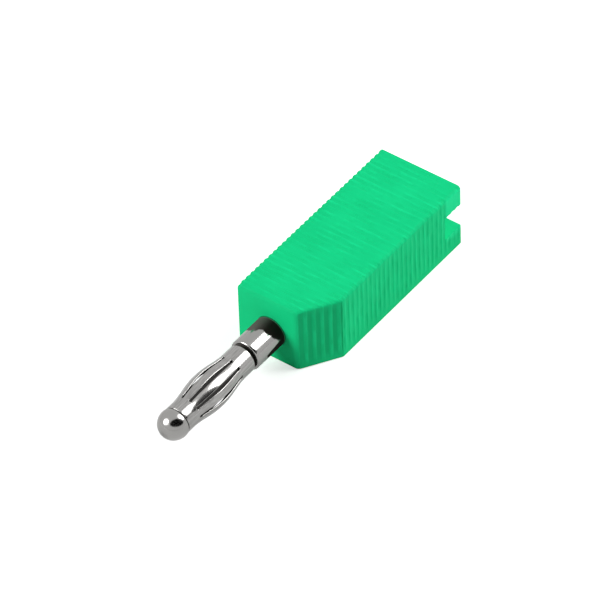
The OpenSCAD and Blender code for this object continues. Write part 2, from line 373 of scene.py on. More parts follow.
def round_loop(x, radius):
    """Round a bore at each x, by the angle from straight down, with the seam's gap left open."""
    gap = np.arcsin(seam(x) / radius)
    turns = np.stack([gap, low_angle + 0 * gap, high_angle + 0 * gap, 2 * pi - gap], -1)
    angle = turns @ shares
    return with_x(x, radius * np.stack([np.sin(angle), -np.cos(angle)], -1))


def channel_loop(x, wall):
    """Round the bore and the channel beside it, whose outer wall stands at the given y."""
    loop = round_loop(x, BORE_RADIUS)
    floor, ceiling = BORE_RADIUS * sin(low_angle), BORE_RADIUS * sin(high_angle)
    beside = np.arange(MEET_LOW, MEET_HIGH + 1)
    turns = [MEET_LOW, SLOT_START, SLOT_END, MEET_HIGH]
    loop[:, beside, 1] = np.interp(beside, turns, [floor, wall, wall, ceiling])
    loop[:, beside, 2] = np.interp(beside, turns, [SLOT_LOW, SLOT_LOW, SLOT_HIGH, SLOT_HIGH])
    return loop


print("slot's corners at", np.round(np.degrees([low_angle, high_angle])), "degrees")

# %% [markdown]
# ## Rows along the block
#
# A row is needed wherever the shape changes along the pin: at the grooves, the rounded ends, the walls
# inside, and the screwdriver's hole, whose rows are spaced by a cosine for a round rim. The inner skin
# is plain, so it only needs the rows of the notch and of that hole.

# %% Rows
CHANNEL_WALL = 0.9
CHANNEL_FRONT = -CHAMFER_LENGTH - 0.9
POCKET_FRONT = SCREW_X + 1.15
POCKET_SIDE = BORE_RADIUS + 1.6
FRONT_WALL = -1.3
SHAFT_HOLE = 2.03
notch_front = REAR + NOTCH_DEPTH

ROW_GAP = 0.005
arc = np.sin(np.linspace(0, pi / 2, 8))
marks = [0, REAR, notch_front, CHANNEL_FRONT, POCKET_FRONT, FRONT_WALL, -CHAMFER_LENGTH, nose_end]
all_rows = np.concatenate([
    marks,
    groove_rows.ravel(),
    -TOP_RADIUS * (1 - arc),
    -CORNER_RADIUS * (1 - arc),
    nose_end * np.linspace(0, 1, 9) ** 2,
    REAR + REAR_RADIUS * (1 - arc),
    SCREW_X + ACCESS_RADIUS * np.cos(np.linspace(0, pi, 41)),
])
all_rows = all_rows[(all_rows <= 0) & (all_rows >= REAR)]
rows = np.unique(np.round(all_rows, 2))
over_hole = np.abs(rows - SCREW_X) <= ACCESS_RADIUS + ROW_GAP
inner_rows = rows[(rows < notch_front) | over_hole]


def between(rows, low, high):
    """The rows from low to high, with both of these included."""
    inside = rows[(rows > low + ROW_GAP) & (rows < high - ROW_GAP)]
    return np.concatenate([[low], inside, [high]])


print("rows outside", len(rows), "inside", len(inner_rows), "over the hole", over_hole.sum())

# %% [markdown]
# ## The block itself
#
# The inside is a row of zones along the pin, each with its own loop: channel, conductor's pocket,
# bore, and the shaft's hole in the front wall. Between two zones stands a flat wall, which is a sheet
# of two rows at the same x.

# %% Block
zones = [
    (REAR, notch_front, channel_loop, RIGHT - CHANNEL_WALL),
    (notch_front, CHANNEL_FRONT, channel_loop, RIGHT - CHANNEL_WALL),
    (CHANNEL_FRONT, POCKET_FRONT, channel_loop, POCKET_SIDE),
    (POCKET_FRONT, FRONT_WALL, round_loop, BORE_RADIUS),
    (FRONT_WALL, 0, round_loop, SHAFT_HOLE),
]


def flat_ring(outer, inner):
    """A flat face between two loops, with a narrow border at each, so that it shades as flat."""
    share = np.array([0, 0.03, 0.97, 1])[:, None, None]
    return outer + (inner - outer) * share


def block_sheets():
    """All sheets of the block's skin: outside, inside, walls, end faces, slot and screw hole."""
    back = outer_loop(between(rows, REAR, notch_front))
    front = outer_loop(between(rows, notch_front, 0))
    inner = [loop(between(inner_rows, low, high), reach) for low, high, loop, reach in zones]
    notch, rest = inner[0], inner[1:]
    sheets = [back[:, FIRST], back[:, REST], front, notch[:, FIRST], notch[:, REST], *rest]
    sheets += [np.stack([a[-1], b[0]]) for a, b in zip(rest, rest[1:])]
    sheets += [flat_ring(back[0, part], notch[0, part]) for part in (FIRST, REST)]
    sheets += [flat_ring(front[-1], rest[-1][-1]), flat_ring(front[0, SLOT], rest[0][0, SLOT])]
    sheets += [flat_ring(back[:, edge], notch[:, edge]) for edge in (SLOT_START, SLOT_END)]
    hole = rows[over_hole]
    for edge in (0, LAST):
        sheets.append(np.stack([outer_loop(hole)[:, edge], round_loop(hole, BORE_RADIUS)[:, edge]], 1))
    return sheets


block_mesh = closed_mesh("ribbed_block", block_sheets())
block = piece(block_mesh, "plug", "green_plastic", "housing")

# %% [markdown]
# ## Telling grooves from ribs
#
# The material paints shade into the grooves and a highlight on the ribs, so it has to know which is
# which. The mesh carries it as a number for every vertex, from the same functions as the shape.

# %% Relief attribute
def places(items, name):
    """The place of each vertex or face, in millimetres."""
    values = np.empty(3 * len(items))
    items.foreach_get(name, values)
    return values.reshape(-1, 3) / MM


def relief(points):
    """For each point, 1 on a groove's floor, -1 on a rib, less of both where the ribs are weak, and 0
    away from the outer skin."""
    x, y, z = points.T
    left, right, base, top = sides(x, 0)
    below = np.minimum.reduce([y - left, right - y, z - base, top - z])
    ribbed = (below < 2 * GROOVE_DEPTH) & (x < -CORNER_RADIUS) & (x > REAR + REAR_LAND)
    return np.where(ribbed, rib_strength(points) * (2 * groove(x) / GROOVE_DEPTH - 1), 0)


relief_values = relief(places(block_mesh.vertices, "co"))
relief_layer = block_mesh.attributes.new("relief", "FLOAT", "POINT")
relief_layer.data.foreach_set("value", relief_values)
print("relief from", round(relief_values.min(), 2), "to", round(relief_values.max(), 2))

# %% [markdown]
# ## Turned parts
#
# The contact body and the tip are turned on a lathe, so each is a profile of radius against x, swept
# round the axis. A turned edge is never quite sharp, so each outward corner gets a small round, tangent
# to both of its sides. Polished metal shows every flaw in its shading, so long straight runs are divided
# into short steps, which keeps each round's shading to itself.

# %% Turned profiles
ROUND_STEPS = 5
ROW_STEP = 0.25


def turned_profile(corners, radii):
    """The profile through the corners, each rounded by its radius: an arc about the point that lies one
    radius from both sides, from one tangent point to the other."""
    corners, radii = np.array(corners, float), np.array(radii, float)
    points = [corners[:1]]
    for before, corner, after, radius in zip(corners, corners[1:], corners[2:], radii[1:]):
        a = (before - corner) / np.linalg.norm(before - corner)
        b = (after - corner) / np.linalg.norm(after - corner)
        half = np.arccos(a @ b) / 2
        centre = corner + (a + b) / np.linalg.norm(a + b) * radius / sin(half)
        reach = radius / np.tan(half)
        start, end = corner + a * reach - centre, corner + b * reach - centre
        t = np.linspace(0, 1, ROUND_STEPS)[:, None] if radius else np.zeros((1, 1))
        turn = pi - 2 * half
        points.append(centre + (np.sin((1 - t) * turn) * start + np.sin(t * turn) * end) / sin(turn))
    return short_steps(np.concatenate(points + [corners[-1:]]))


def short_steps(profile):
    """The same profile with no step longer than the row step: extra points by linear interpolation."""
    length = np.concatenate([[0], np.cumsum(np.linalg.norm(np.diff(profile, axis=0), axis=1))])
    extra = np.concatenate([
        np.linspace(a, b, 1 + int(np.ceil((b - a) / ROW_STEP)))[:-1] for a, b in zip(length, length[1:])
    ] + [length[-1:]])
    return np.stack([np.interp(extra, length, column) for column in profile.T], -1)


def swept_round(profile, segments):
    """The profile's x and radius at every angle round the pin's axis, as one sheet."""
    angle = np.linspace(0, 2 * pi, segments + 1)
    x, radius = profile.T[:, :, None] * np.ones(segments + 1)
    return np.stack([x, radius * np.cos(angle), radius * np.sin(angle)], -1)


print("1 mm takes", len(short_steps(np.array([[0, 0], [1, 0]]))) - 1, "steps")

# %% [markdown]
# ## The contact body
#
# One turned part, usually of brass, carries the current: the 4 mm shaft in front, the thick barrel
# inside the block and, from the rear, the bore that takes a second plug. The conductor's hole and the
# clamp screw's hole are drilled across it after turning. They are hardly seen, so a Boolean is good
# enough: it drills the finished skin as a workshop would.

# %% Contact body
TURNING_SEGMENTS = 128
SHAFT_RADIUS = 2.0
BARREL_RADIUS = 2.7
SOCKET_RADIUS = 2.025
SOCKET_END = metal_low[0] + 19.5
MOUTH = 0.35
DRILL_HALF_ANGLE = radians(59)
DRILL_TIP = SOCKET_END + SOCKET_RADIUS / np.tan(DRILL_HALF_ANGLE)
SPIGOT_HOLE = 1.11
SPIGOT_END = metal_high[0] - 6
WIRE_HOLE = 0.95
SCREW_HOLE = 1.5
CUTTER_SEGMENTS = 48
CUTTER_REACH = 4


def drilled(mesh, *cutters):
    """The mesh with each cutter's solid taken out."""
    work = placed("work", mesh)
    for cutter in cutters:
        cut = work.modifiers.new("cut", "BOOLEAN")
        cut.object = placed("tool", cutter)
        cut.solver = "EXACT"
    graph = bpy.context.evaluated_depsgraph_get()
    result = bpy.data.meshes.new_from_object(work.evaluated_get(graph))
    name = mesh.name
    for used in [cut.object for cut in work.modifiers]:
        bpy.data.objects.remove(used)
    bpy.data.objects.remove(work)
    bpy.data.meshes.remove(mesh)
    result.name = name
    smooth(result)
    print(f"{name}: {len(result.polygons)} faces after cutting")
    return result


def rod(name, start, end, radius):
    """A round cutter from one point to another, in millimetres."""
    start, end = Vector(start), Vector(end)
    profile = np.array([[0, 0], [0, radius], [(end - start).length, radius], [(end - start).length, 0]])
    mesh = closed_mesh(name, [swept_round(profile, CUTTER_SEGMENTS)])
    turn = (end - start).to_track_quat("X", "Z").to_matrix().to_4x4()
    mesh.transform(Matrix.Translation(start * MM) @ turn)
    return mesh


contact_profile = turned_profile([
    [DRILL_TIP, 0], [SOCKET_END, SOCKET_RADIUS], [metal_low[0] + MOUTH, SOCKET_RADIUS],
    [metal_low[0], SOCKET_RADIUS + MOUTH], [metal_low[0], BARREL_RADIUS], [FRONT_WALL, BARREL_RADIUS],
    [FRONT_WALL, SHAFT_RADIUS], [metal_high[0], SHAFT_RADIUS], [metal_high[0], SPIGOT_HOLE],
    [SPIGOT_END, SPIGOT_HOLE], [SPIGOT_END, 0],
], [0, 0, 0.05, 0.06, 0.12, 0.12, 0, 0.24, 0.05, 0, 0])
contact_mesh = drilled(
    closed_mesh("contact_barrel", [swept_round(contact_profile, TURNING_SEGMENTS)]),
    rod("wire_hole", (SCREW_X, -CUTTER_REACH, 0), (SCREW_X, CUTTER_REACH, 0), WIRE_HOLE),
    rod("screw_hole", (SCREW_X, 0, -CUTTER_REACH), (SCREW_X, 0, 0), SCREW_HOLE),
)
contact = piece(contact_mesh, "plug", "nickel_plate", "contact_body")

# %% [markdown]
# ## The tip
#
# The tip is one turned pin: a ball with a flat back, the mandrel that the spring cage turns on, and a
# thin spigot pressed into the shaft. The ball is a run of equal angles from its back to the front pole.

# %% Tip pin
BALL_RADIUS = (tip_high[1] - tip_low[1]) / 2
BALL_X = tip_high[0] - BALL_RADIUS
BALL_BACK = 0.4
MANDREL_RADIUS = 1.55
SPIGOT_RADIUS = 1.1

ball_angle = np.linspace(np.arccos(-BALL_BACK / BALL_RADIUS), 0, 61)
ball = np.stack([BALL_X + BALL_RADIUS * np.cos(ball_angle), BALL_RADIUS * np.sin(ball_angle)], -1)
stem = turned_profile(
    [[tip_low[0], 0], [tip_low[0], SPIGOT_RADIUS], [metal_high[0], SPIGOT_RADIUS],
     [metal_high[0], MANDREL_RADIUS], [BALL_X - BALL_BACK, MANDREL_RADIUS], ball[0], ball[3]],
    [0, 0.1, 0, 0.05, 0, 0.04, 0],
)
tip_mesh = closed_mesh("ball_tip", [swept_round(np.concatenate([stem, ball[4:]]), TURNING_SEGMENTS)])
tip = piece(tip_mesh, "plug", "nickel_plate", "tip_pin")

# %% [markdown]
# ## The spring cage
#
# The cage is a thin sheet, slotted, rolled into a sleeve and squeezed lengthwise until its ten leaves
# bulge. A leaf keeps the roundness that rolling gave it, so across a leaf the section is a circle of
# the collar's radius, pushed out from the axis by the bulge. Each slot ends in a round hole.

# %% Shape of a leaf
LEAVES = 10
FIRST_SLOT = radians(3.3)
SHEET = 0.2
COLLAR_RADIUS = 1.82
RISE_REAR = cage_low[0] + 1.4
RISE_FRONT = cage_high[0] - 1.0
BULGE = cage_high[1] - COLLAR_RADIUS
SLOT_SETBACK = 0.9
SLOT_END_HALF = 0.12
SLOT_MID_HALF = 0.21
RELIEF_RADIUS = 0.17
HOLE_REAR = RISE_REAR + SLOT_SETBACK + RELIEF_RADIUS
HOLE_FRONT = RISE_FRONT - SLOT_SETBACK - RELIEF_RADIUS
half_pitch = pi / LEAVES


def rise(x):
    """Share of the bulge at x: the square of a sine, one smooth wave from collar to collar."""
    t = np.clip((x - RISE_REAR) / (RISE_FRONT - RISE_REAR), 0, 1)
    return np.sin(pi * t) ** 2


def leaf_radius(x, angle, depth):
    """Distance from the axis, at a depth under the face and an angle from the slot's middle: a circle
    of the collar's radius, pushed out by the bulge along the leaf's middle."""
    push = BULGE * rise(x)
    away = half_pitch - np.abs(angle)
    return push * np.cos(away) + np.sqrt((COLLAR_RADIUS - depth) ** 2 - (push * np.sin(away)) ** 2)


middle = np.array((RISE_REAR + RISE_FRONT) / 2)
print("over the leaves", round(2 * float(leaf_radius(middle, half_pitch, 0)), 2), "mm")

# %% [markdown]
# ## Lines round a slot
#
# The mesh is laid round the slots and not across them: for every slot, a fan of lines runs from the
# slot's outline to the border half way to the next slot. So no face is ever cut by a slot's edge. The
# leaves' edges are round, as tumbling would leave them, and catch the light as thin bright lines beside
# the dark slots.

# %% Outline and border
EDGE_ROUND = 0.08
EDGE_STEPS = 6
SIDE_STEPS = 48
HOLE_STEPS = 20
CORNER_STEPS = 6
HALF_WAY = SIDE_STEPS + HOLE_STEPS


def slot_outline(offset):
    """Once round a slot grown by an offset, as x and half width: one side, the hole in front, the
    other side and the rear hole. A hole's round starts where the side runs into it."""
    side, hole = SLOT_END_HALF + offset, RELIEF_RADIUS + offset
    reach = np.sqrt(hole**2 - side**2)
    start = np.arctan2(side, reach)
    x = np.linspace(HOLE_REAR + reach, HOLE_FRONT - reach, SIDE_STEPS + 1)
    swell = np.sin(np.linspace(0, pi, SIDE_STEPS + 1)) ** 2
    upper = np.stack([x, side + (SLOT_MID_HALF - SLOT_END_HALF) * swell], -1)
    turn = np.linspace(pi - start, start - pi, HOLE_STEPS + 1)[1:]
    front = np.stack([HOLE_FRONT + hole * np.cos(turn), hole * np.sin(turn)], -1)
    half_way = np.concatenate([upper, front])
    back = half_way * [-1, -1] + [HOLE_REAR + HOLE_FRONT, 0]
    return np.concatenate([half_way, back[1:]])


def slot_border():
    """The border round a slot's share of the sleeve, as x and angle, point for point with the outline."""
    reach = np.sqrt(RELIEF_RADIUS**2 - SLOT_END_HALF**2)
    low, high = cage_low[0] + EDGE_ROUND, cage_high[0] - EDGE_ROUND
    start, end = HOLE_REAR + reach, HOLE_FRONT - reach
    corners = [SIDE_STEPS + CORNER_STEPS, HALF_WAY - CORNER_STEPS]
    marks = [0, SIDE_STEPS, *corners, HALF_WAY]
    steps = np.arange(HALF_WAY + 1)
    x = [
        np.interp(steps, marks, [start, end, high, high, end]),
        np.interp(steps[1:], marks, [end, start, low, low, start]),
    ]
    angle = np.interp(steps, [0, *corners, HALF_WAY], [1, 1, -1, -1])
    return np.stack([np.concatenate(x), half_pitch * np.concatenate([angle, -angle[1:]])], -1)


print("points round a slot", len(slot_outline(0)), "and its border", len(slot_border()))

# %% [markdown]
# ## Sheets of the cage
#
# For each slot, one sheet runs over the outer face, round the slot's edge, through the wall and back
# over the inner face. The two ends of the sleeve are sheets of their own, with the same round at both
# corners of the cut edge.

# %% Cage
FAN_SHARES = [1, 0.86, 0.72, 0.58, 0.45, 0.33, 0.22, 0.12, 0.05]
bend = np.linspace(0, pi / 2, EDGE_STEPS)
round_back, round_deep = EDGE_ROUND * (1 - np.sin(bend)), EDGE_ROUND * (1 - np.cos(bend))


def sleeve(x, angle, depth, number):
    """Points of the sleeve at x, at an angle from a slot's middle and a depth under the outer face."""
    radius = leaf_radius(x, angle, depth)
    turn = FIRST_SLOT + 2 * half_pitch * number + angle
    return np.stack([x, radius * np.cos(turn), radius * np.sin(turn)], -1)


def slot_sheet(number):
    """From the border over the outer face to the slot, through the wall, and back on the inner face."""
    border = slot_border()
    made = []
    path = [(share, EDGE_ROUND, 0) for share in FAN_SHARES]
    path += [(0, *step) for step in zip(round_back, round_deep)]
    path += [(share, offset, SHEET - depth) for share, offset, depth in reversed(path)]
    for share, offset, depth in path:
        x, half = slot_outline(offset).T
        angle = np.arcsin(half / leaf_radius(x, np.abs(half) / COLLAR_RADIUS, depth))
        along, round_axis = np.stack([x, angle]) * (1 - share) + border.T * share
        made.append(sleeve(along, round_axis, depth, number))
    return np.stack(made)


def collar_edges(number):
    """The sleeve's two ends over one slot's share: the sheet's cut edge, with both its corners round."""
    depth = np.concatenate([round_deep, SHEET - round_deep[::-1]])
    inset = np.concatenate([round_back, round_back[::-1]])
    points = HOLE_STEPS - 2 * CORNER_STEPS + 1
    angle = np.linspace(half_pitch, -half_pitch, points) + 0 * depth[:, None]
    ends = [cage_low[0] + inset[:, None] + 0 * angle, cage_high[0] - inset[:, None] + 0 * angle]
    return [sleeve(x, angle, depth[:, None], number) for x in ends]


cage_sheets = [slot_sheet(number) for number in range(LEAVES)]
cage_sheets += [edge for number in range(LEAVES) for edge in collar_edges(number)]
cage = piece(closed_mesh("leaf_cage", cage_sheets), "cage", "spring_plate", "cage_spring")

# %% [markdown]
# ## Bright outside, dull inside
#
# Plating reaches badly into a narrow slot, so the faces under the outer skin get a second, rougher
# material, painted near black as painted shade. They are those whose middles lie deeper than the
# edges' round.

# %% Faces under the skin
x, y, z = places(cage.data.polygons, "center").T
from_slot = (np.arctan2(z, y) - FIRST_SLOT + half_pitch) % (2 * half_pitch) - half_pitch
hidden_faces = leaf_radius(x, from_slot, 0) - np.hypot(y, z) > EDGE_ROUND
print("faces under the skin", hidden_faces.sum(), "of", len(hidden_faces))

# %% [markdown]
# ## The clamp screw
#
# A slotted set screw presses the conductor. It is seen end on, through the hole in the underside. Its
# thread is a helix: the radius falls from crest to root as height and angle together pass through one
# pitch. Both ends are bevelled, and the slot is sawn last.

# %% Clamp screw
THREAD_PITCH = 0.5
THREAD_DEPTH = 0.16
THREAD_FLANK = 1.6
THREAD_CREST = 0.3
SCREW_BEVEL = 0.25
DRIVER_SLOT = 0.5
DRIVER_DEPTH = 0.7
screw_radius = (screw_high[1] - screw_low[1]) / 2

height = np.linspace(0, screw_high[2] - screw_low[2], 74)[:, None]
turn = np.linspace(0, 2 * pi, 65)
phase = (height / THREAD_PITCH - turn / (2 * pi)) % 1
root = smooth_step(THREAD_FLANK * np.abs(2 * phase - 1) - THREAD_CREST)
thread = screw_radius - THREAD_DEPTH * root
from_end = np.minimum(height, height[-1] - height)
wall = np.minimum(thread, screw_radius - SCREW_BEVEL + from_end)
closed = np.concatenate([0 * wall[:1], wall, 0 * wall[:1]])
level = screw_low[2] + np.concatenate([height[:1], height, height[-1:]])
screw_sheet = np.stack([SCREW_X + closed * np.cos(turn), closed * np.sin(turn), level + 0 * closed], -1)


def bar(name, low, high):
    """A square cutter between two corners, in millimetres."""
    work = bmesh.new()
    size = Vector(high) - Vector(low)
    place = Matrix.Translation((Vector(low) + size / 2) * MM) @ Matrix.Diagonal((*size * MM, 1))
    bmesh.ops.create_cube(work, size=1, matrix=place)
    mesh = bpy.data.meshes.new(name)
    work.to_mesh(mesh)
    work.free()
    return mesh


screw_mesh = drilled(
    closed_mesh("clamp_thread", [screw_sheet]),
    bar("saw", (SCREW_X - 2, -DRIVER_SLOT / 2, screw_low[2] - 1),
        (SCREW_X + 2, DRIVER_SLOT / 2, screw_low[2] + DRIVER_DEPTH)),
)
screw = piece(screw_mesh, "screw", "screw_steel", "clamp_screw")

# %% [markdown]
# ## Materials: the tools
#
# Every finish is a Principled shader fed by a few procedural nodes. The patterns read the object's own
# coordinates, which a Mapping node turns into millimetres, so a scale of 3 means three waves in a
# millimetre.

# %% Nodes and patterns
def add(owner, kind, inputs=(), **settings):
    """A shader node in the tree of its owner, a node or a socket. Inputs are values, or sockets to link."""
    tree = owner.id_data
    made = tree.nodes.new("ShaderNode" + kind)
    for name, value in settings.items():
        setattr(made, name, value)
    for key, value in dict(inputs).items():
        if isinstance(value, bpy.types.NodeSocket):
            tree.links.new(value, made.inputs[key])
        else:
            made.inputs[key].default_value = value
    return made


def feed(shader, key, socket):
    """Link a socket to one of a shader's inputs."""
    shader.id_data.links.new(socket, shader.inputs[key])


def finish(name, roughness, metallic=0.0, specular=0.5):
    """A new material, with its Principled shader and the object's coordinates."""
    material = bpy.data.materials.new(name)
    material.use_nodes = True
    shader = material.node_tree.nodes["Principled BSDF"]
    shader.inputs["Roughness"].default_value = roughness
    shader.inputs["Metallic"].default_value = metallic
    shader.inputs["Specular IOR Level"].default_value = specular
    return material, shader, add(shader, "TexCoord").outputs["Object"]


def scaled(place, *scale):
    """The place stretched by a scale for each axis, in waves to the millimetre."""
    return add(place, "Mapping", {"Vector": place, "Scale": [s / MM for s in scale]}).outputs["Vector"]


def noise(place, *scale, detail=2):
    """Soft random grain from 0 to 1, scaled along each axis."""
    inputs = {"Vector": scaled(place, *scale), "Scale": 1, "Detail": detail}
    return add(place, "TexNoise", inputs).outputs["Fac"]


print("to finish", [made.name for made in (block, contact, tip, cage, screw)])

# %% [markdown]
# ## Masks and mixes
#
# A finish changes over a piece: here stained, there bright. Such a place is a mask, a number from 0 to 1
# made from a coordinate by a smooth step. Combined masks then mix two colours.

# %% Masks and mixes
BLACK = (0, 0, 0, 1)


def grey(level):
    """A colour without tint."""
    return (level, level, level, 1)


def ramp(value, low, high):
    """The colour for a value, between a low and a high mark: each is a value and its colour."""
    made = add(value, "ValToRGB", {"Fac": value})
    for element, (place, tint) in zip(made.color_ramp.elements, (low, high)):
        element.position = place
        element.color = tint
    return made.outputs["Color"]


def fade(value, start, end):
    """0 at the start, 1 at the end and a smooth step between. Either may be the larger."""
    inputs = {"Value": value, "From Min": start, "From Max": end}
    return add(value, "MapRange", inputs, interpolation_type="SMOOTHSTEP").outputs["Result"]


def maths(operation, *values):
    """The result of one operation, whose first value is a socket."""
    return add(values[0], "Math", dict(enumerate(values)), operation=operation).outputs["Value"]


def mixed(share, first, second):
    """A mix of two colours, by a share from 0 to 1."""
    return add(share, "Mix", {0: share, 6: first, 7: second}, data_type="RGBA").outputs[2]


def bump(shader, *layers):
    """Layers of relief on a shader: each a height socket and its depth in millimetres."""
    normal = None
    for height, depth in layers:
        inputs = {"Height": height, "Distance": depth * MM, "Strength": 1.0}
        if normal is not None:
            inputs["Normal"] = normal
        normal = add(shader, "Bump", inputs).outputs["Normal"]
    feed(shader, "Normal", normal)


print("half grey", grey(0.5))

# %% [markdown]
# ## Green plastic
#
# The block could be polypropylene, moulded through in one strong green, with a satin skin. Such a
# plastic has a soft, weak sheen: a rough surface and little specular. The mould's fine texture is a
# grain finer than a rib. A slow change of tint keeps so wide an area from looking like paint. Shade
# is painted into the grooves, most of all on the chamfer, and a painted highlight makes the tops of
# the ribs paler in patches. The jaw over the cable notch is thin, and it is painted paler too, as
# painted light shining through it.

# %% Green plastic
DEEP_GREEN = (0.008, 0.65, 0.243, 1)
GREEN = (0.009, 0.70, 0.263, 1)
PALE_GREEN = (0.014, 0.84, 0.34, 1)
GROOVE_SHADE = 0.05
CHAMFER_GROOVE_SHADE = 0.05
CREST_HIGHLIGHT = 0.5
chamfer_side = RIGHT - CHAMFER_WIDTH


def green_plastic():
    """Satin green: a slow change of tint, a fine mould grain and slight waves along the ribs."""
    material, shader, place = finish("satin_green", roughness=0.55, specular=0.04)
    slow = noise(place, 0.35, 0.25, 0.25, detail=3)
    tint = ramp(slow, (0.3, DEEP_GREEN), (0.7, GREEN))
    x, y, z = add(place, "SeparateXYZ", {"Vector": scaled(place, 1, 1, 1)}).outputs
    in_front = fade(x, -CHAMFER_LENGTH - 0.3, -CHAMFER_LENGTH + 0.2)
    chamfered = maths("MULTIPLY", in_front, fade(y, chamfer_side - 0.45, chamfer_side - 0.05))
    # Painted shade: the groove floors are darkened, most of all on the chamfer.
    groove_shade_share = maths("MULTIPLY_ADD", chamfered, CHAMFER_GROOVE_SHADE, GROOVE_SHADE)
    sunk = add(place, "Attribute", attribute_name="relief").outputs["Fac"]
    depth = maths("MAXIMUM", sunk, 0.0)
    patches = noise(place, 1.2, 0.35, 0.35)
    # Painted highlight: the tops of the ribs are made paler in patches.
    crest = maths("MAXIMUM", maths("MULTIPLY", sunk, -CREST_HIGHLIGHT), 0.0)
    crest_highlight = maths("MULTIPLY", crest, fade(patches, 0.42, 0.6))
    # Painted light: the thin jaw over the cable notch is made paler, as if lit through.
    at_rear = fade(x, notch_front + 0.3, notch_front - 0.5)
    at_side = maths("MULTIPLY", fade(y, 0.0, RIGHT - 0.5), at_rear)
    above = maths("MULTIPLY", at_side, fade(z, SLOT_LOW - 1.2, SLOT_LOW))
    jaw = maths("MULTIPLY", above, fade(z, TOP, TOP - 0.4))
    pale = mixed(maths("MAXIMUM", jaw, crest_highlight), tint, PALE_GREEN)
    shaded = mixed(maths("MULTIPLY", depth, groove_shade_share), pale, BLACK)
    feed(shader, "Base Color", shaded)
    bump(shader, (noise(place, 7, 7, 7), 0.004), (noise(place, 2.2, 0.45, 0.45), 0.05))
    return material


green = green_plastic()
print(green.name, len(green.node_tree.nodes), "nodes")

# %% [markdown]
# ## Nickel plate
#
# The turned parts are nickel plated: a smooth, slightly warm grey mirror. It mostly shows its
# surroundings, so the finish itself is quiet: faint rings from turning, and smudges in the
# roughness. The socket's wall is left as a drill would leave it, so it is rougher than the outside.
# Where the shaft leaves the block, a painted dark reflection of the block's shaded front face makes
# the plating almost black, with a ragged edge, and the gap at the shaft's end gets the same dark as
# painted shade. The mandrel under the cage is painted a dark grey, as painted shade.

# %% Nickel
NICKEL = (0.33, 0.325, 0.316, 1)
DARK_REFLECTION_AND_SHADE = (0.02, 0.018, 0.015, 1)
PALE_REFLECTION_AND_SHADE = (0.14, 0.13, 0.12, 1)
RECESS_SHADE = (0.09, 0.087, 0.082, 1)
ROOT_START = 0.15
ROOT_END = 2.2
# Across the shaft as the camera sees it, to the lower right: the painted dark reflection narrows that way
ROOT_SIDE = (0.842, -0.539)
ROOT_NARROWING = 0.7
LOBE_REACH = 2.4
LEFT_REACH = 0.5
RECESS_RADIUS = 1.62


def nickel_plate():
    """Turned and plated: fine rings round the axis, soft smudges, a painted dark reflection at the root by
    the block, and painted shade in the gap and under the cage.
    """
    material, shader, place = finish("bright_nickel", roughness=0.16, metallic=1.0, specular=0.0)
    x, y, z = add(place, "SeparateXYZ", {"Vector": scaled(place, 1, 1, 1)}).outputs
    radius = add(place, "VectorMath", {0: scaled(place, 0, 1, 1)}, operation="LENGTH").outputs["Value"]
    across = maths("MULTIPLY_ADD", y, ROOT_SIDE[0], maths("MULTIPLY", z, ROOT_SIDE[1]))
    facing = maths("MULTIPLY_ADD", z, ROOT_SIDE[0], maths("MULTIPLY", y, -ROOT_SIDE[1]))
    edge = maths("MULTIPLY_ADD", maths("MAXIMUM", across, 0.0), ROOT_NARROWING, x)
    lobe = maths("MULTIPLY", fade(across, 1.45, 1.75), fade(facing, -1.0, 0.0))
    edge = maths("MULTIPLY_ADD", lobe, -LOBE_REACH, edge)
    edge = maths("MULTIPLY_ADD", fade(across, -0.9, -1.3), -LEFT_REACH, edge)
    ragged = noise(place, 1.6, 1.6, 1.6, detail=3)
    edge = maths("ADD", maths("SUBTRACT", ragged, 0.5), edge)
    behind_root = fade(x, ROOT_START + 0.1, ROOT_START - 0.1)
    clear_of_root = maths("MAXIMUM", behind_root, fade(edge, ROOT_END - 0.2, ROOT_END + 0.1))
    on_ball = fade(x, BALL_X - BALL_BACK - 0.02, BALL_X - BALL_BACK + 0.02)
    out_of_recess = maths("MAXIMUM", on_ball, fade(radius, RECESS_RADIUS, RECESS_RADIUS + 0.1))
    bright = maths("MINIMUM", clear_of_root, out_of_recess)
    # Painted reflection and painted shade: near black at the shaft's root and in the gap at its end.
    root_reflection_and_shade = mixed(fade(across, -2.0, -0.4), PALE_REFLECTION_AND_SHADE, DARK_REFLECTION_AND_SHADE)
    # Painted shade: the mandrel under the cage is dark grey.
    reflection_and_shade = mixed(fade(x, metal_high[0] + 0.5, metal_high[0] + 1), root_reflection_and_shade, RECESS_SHADE)
    feed(shader, "Base Color", mixed(bright, reflection_and_shade, NICKEL))
    feed(shader, "Metallic", bright)
    bump(shader, (noise(place, 22, 0, 0, detail=1), 0.0006))
    smudges = noise(place, 0.8, 0.8, 0.8, detail=3)
    polished = ramp(smudges, (0.35, grey(0.13)), (0.7, grey(0.2)))
    outside = maths("MAXIMUM", fade(x, SCREW_X - 2, SCREW_X), fade(radius, 2.1, 2.2))
    feed(shader, "Roughness", mixed(outside, grey(0.5), polished))
    return material


nickel = nickel_plate()
print(nickel.name, len(nickel.node_tree.nodes), "nodes")

# %% [markdown]
# ## The cage's sheet
#
# The cage is plated too, but it starts as rolled sheet. Rolling leaves a grain along the leaves, which
# shows as streaks in the mirror. Inside and in the slots the same sheet is rougher, with a coarse
# grain, and painted near black as painted shade, so that the slots read as dark lines.

# %% Spring sheet
SHEET_DARK = (0.27, 0.266, 0.259, 1)
SHEET_LIGHT = (0.40, 0.395, 0.386, 1)
# Painted shade: the slots and the sleeve's inside are near black.
DULL_SHADE_DARK = (0.02, 0.019, 0.017, 1)
DULL_SHADE_LIGHT = (0.045, 0.043, 0.04, 1)


